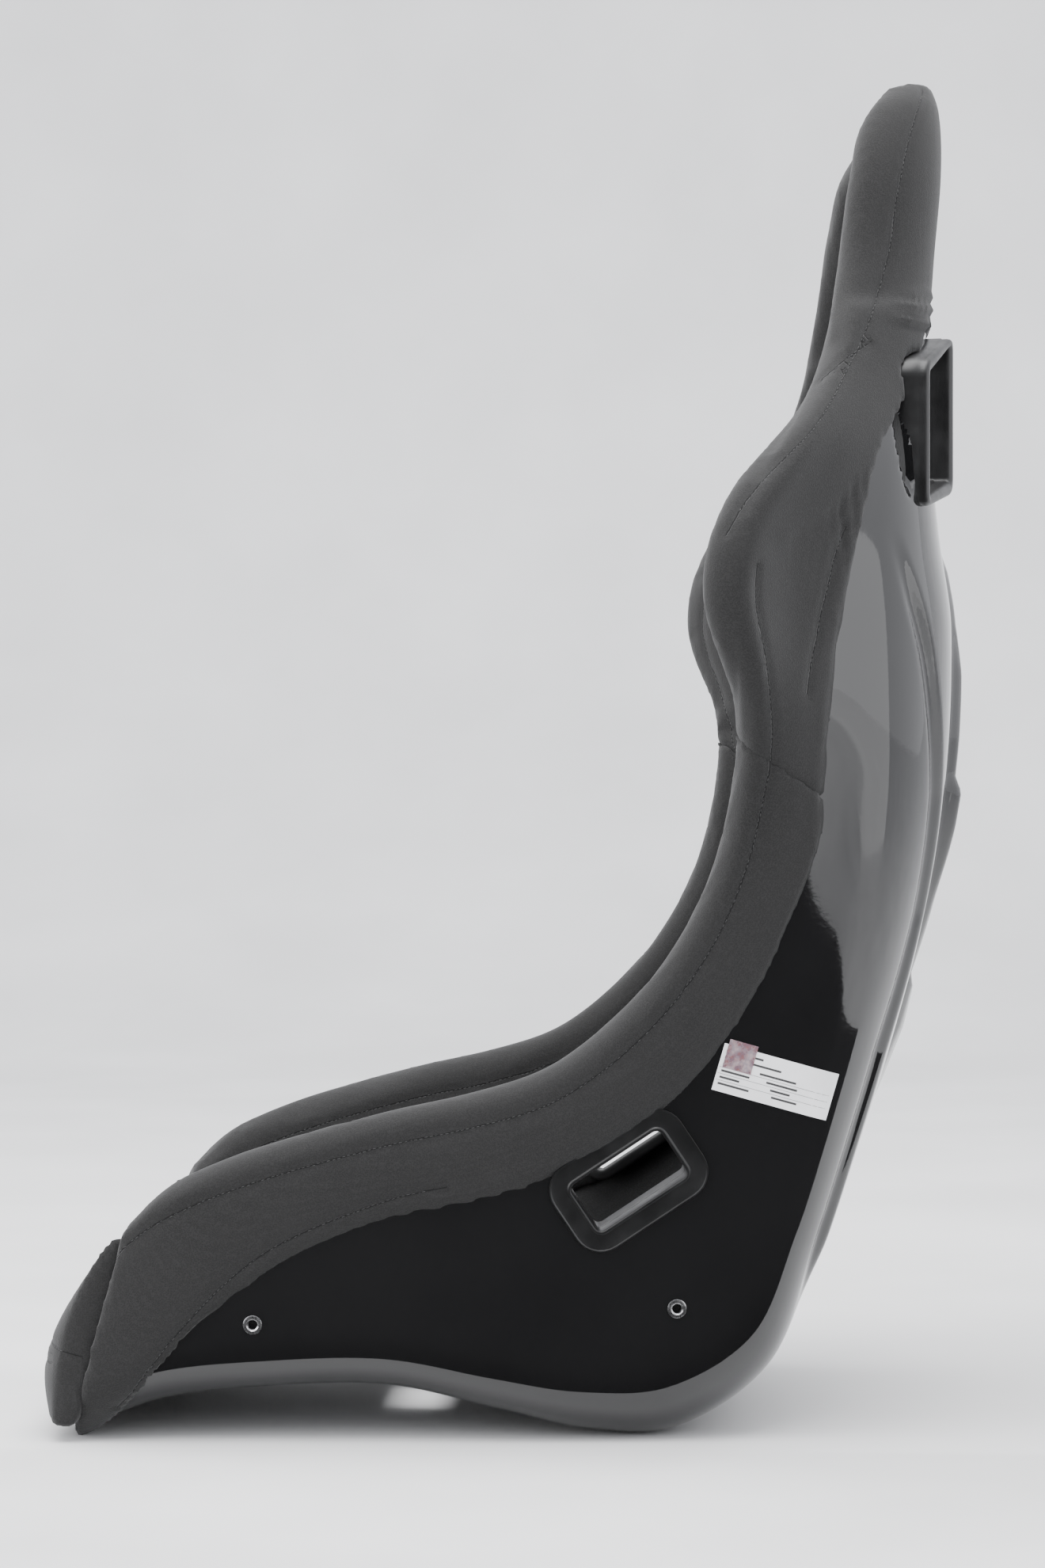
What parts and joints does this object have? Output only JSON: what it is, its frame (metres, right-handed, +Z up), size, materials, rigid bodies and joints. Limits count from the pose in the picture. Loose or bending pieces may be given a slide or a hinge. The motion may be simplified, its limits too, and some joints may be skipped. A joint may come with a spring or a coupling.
{
  "type": "racing seat",
  "caption": "Fixed-back bucket racing seat: a gloss laminated shell with padded fabric bolsters, loose cushions, belt slots and side inserts.",
  "frame": {"origin": "midway between the four threaded side inserts, by which the side brackets hold the seat", "axes": "+Z up, the seat faces -Y, +X is the occupant's left"},
  "size_m": [0.5962, 0.6565, 0.9546],
  "materials": {
    "shell_gelcoat": "gloss",
    "fabric": "matte",
    "hook_tape": "matte",
    "bezel_plastic": "satin",
    "insert_steel": "satin",
    "plate_steel": "satin",
    "label_white": "satin",
    "sticker_film": "gloss"
  },
  "bodies": {
    "shell": {"shell": "shell_gelcoat", "lower_bolster_left": "fabric", "lower_bolster_right": "fabric", "shoulder_bolster_left": "fabric", "shoulder_bolster_right": "fabric", "head_edge_roll": "fabric", "head_pad": "fabric", "head_back_cover": "fabric", "front_roll": "fabric", "pan_lining": "fabric", "back_lining": "fabric", "seat_tape_front": "hook_tape", "seat_tape_rear": "hook_tape", "back_tape_lower": "hook_tape", "back_tape_upper": "hook_tape", "lap_slot_bezel_left": "bezel_plastic", "lap_slot_bezel_right": "bezel_plastic", "lap_slot_inner_bezel_left": "bezel_plastic", "lap_slot_inner_bezel_right": "bezel_plastic", "shoulder_slot_bezel_left": "bezel_plastic", "shoulder_slot_bezel_right": "bezel_plastic", "shoulder_slot_inner_bezel_left": "bezel_plastic", "shoulder_slot_inner_bezel_right": "bezel_plastic", "crotch_slot_bezel": "bezel_plastic", "crotch_slot_inner_bezel": "bezel_plastic", "side_insert_front_left": "insert_steel", "side_insert_front_right": "insert_steel", "side_insert_rear_left": "insert_steel", "side_insert_rear_right": "insert_steel", "insert_plate_front_left": "plate_steel", "insert_plate_front_right": "plate_steel", "insert_plate_rear_left": "plate_steel", "insert_plate_rear_right": "plate_steel", "data_label": "label_white", "seal_sticker": "sticker_film"},
    "seat_cushion": {"seat_cushion": "fabric"},
    "back_cushion": {"back_cushion": "fabric"}
  },
  "joints": [
    {"name": "seat_cushion_lift", "type": "slide", "parent": "shell", "child": "seat_cushion", "axis": [0, 0, 1], "range_m": [0, 0.26]},
    {"name": "back_cushion_pull", "type": "slide", "parent": "shell", "child": "back_cushion", "axis": [0, -0.9708, 0.24], "range_m": [0, 0.1]}
  ]
}
